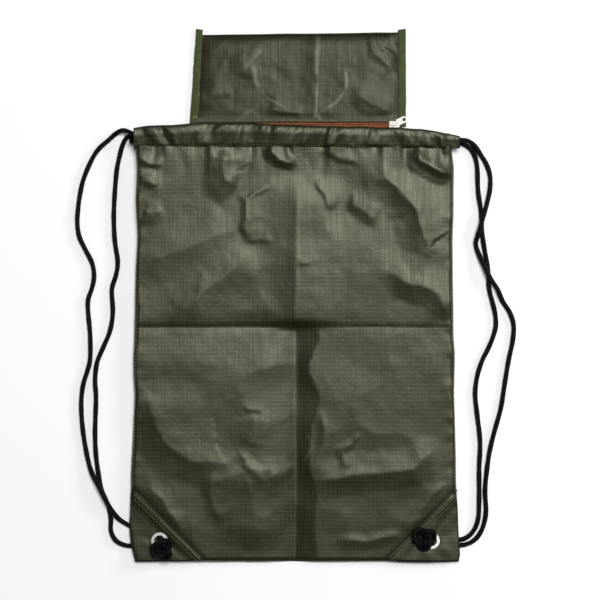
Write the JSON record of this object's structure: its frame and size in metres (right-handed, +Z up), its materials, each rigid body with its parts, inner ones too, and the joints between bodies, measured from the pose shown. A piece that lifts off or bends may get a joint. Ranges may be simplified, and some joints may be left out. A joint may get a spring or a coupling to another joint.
{
  "type": "drawstring backpack",
  "caption": "Flat ripstop drawstring backpack with corner eyelets, knotted cord straps and a zipped stow pouch folded up above the hem",
  "frame": {"origin": "On the floor under the middle of the bag and pouch, measured without the cords", "axes": "+X across the bag, +Y from the bottom fold to the pouch, +Z up out of the front panel"},
  "size_m": [0.4455, 0.5394, 0.0211],
  "materials": {
    "bag_cloth": "dark olive ripstop nylon with a soft sheen",
    "cord": "black braided cord",
    "binding": "green woven binding tape",
    "zip_tape": "rust orange woven zip tape",
    "zip_coil": "rust orange nylon coil",
    "slider_metal": "off-white painted zinc",
    "eyelet_metal": "dull nickel, worn at the rim"
  },
  "bodies": {
    "bag": {"front_panel": "bag_cloth", "back_panel": "bag_cloth", "front_channel": "bag_cloth", "back_channel": "bag_cloth", "corner_patch_front_left": "bag_cloth", "corner_patch_front_right": "bag_cloth", "corner_patch_back_left": "bag_cloth", "corner_patch_back_right": "bag_cloth", "eyelet_left": "eyelet_metal", "eyelet_right": "eyelet_metal", "eyelet_washer_left": "eyelet_metal", "eyelet_washer_right": "eyelet_metal", "channel_cord_left": "cord", "channel_cord_right": "cord", "corner_cord_left": "cord", "corner_cord_right": "cord", "knot_left": "cord", "knot_right": "cord"},
    "left_strap": {"left_strap_outer": "cord", "left_strap_inner": "cord"},
    "right_strap": {"right_strap_outer": "cord", "right_strap_inner": "cord"},
    "pouch": {"pouch_front": "bag_cloth", "pouch_back": "bag_cloth", "binding_left": "binding", "binding_right": "binding", "zip_tape_upper": "zip_tape", "zip_tape_lower": "zip_tape", "zip_coil_upper": "zip_coil", "zip_coil_lower": "zip_coil", "zip_stops": "slider_metal"},
    "zip_slider": {"slider": "slider_metal"},
    "zip_tab": {"pull_tab": "slider_metal"}
  },
  "joints": [
    {"name": "left_strap_swing", "type": "hinge", "parent": "bag", "child": "left_strap", "pos_m": [-0.174, -0.045, 0.01], "axis": [0, 1, 0], "range_deg": [0, 160]},
    {"name": "right_strap_swing", "type": "hinge", "parent": "bag", "child": "right_strap", "pos_m": [0.174, -0.045, 0.01], "axis": [0, -1, 0], "range_deg": [0, 160]},
    {"name": "pouch_fold", "type": "hinge", "parent": "bag", "child": "pouch", "pos_m": [0.006, 0.1685, 0.0138], "axis": [1, 0, 0], "range_deg": [0, 176]},
    {"name": "zip_slide", "type": "slide", "parent": "pouch", "child": "zip_slider", "axis": [1, 0, 0], "range_m": [-0.18, 0]},
    {"name": "tab_flip", "type": "hinge", "parent": "zip_slider", "child": "zip_tab", "pos_m": [0.099, 0.1729, 0.00615], "axis": [0, -1, 0], "range_deg": [0, 170]}
  ]
}
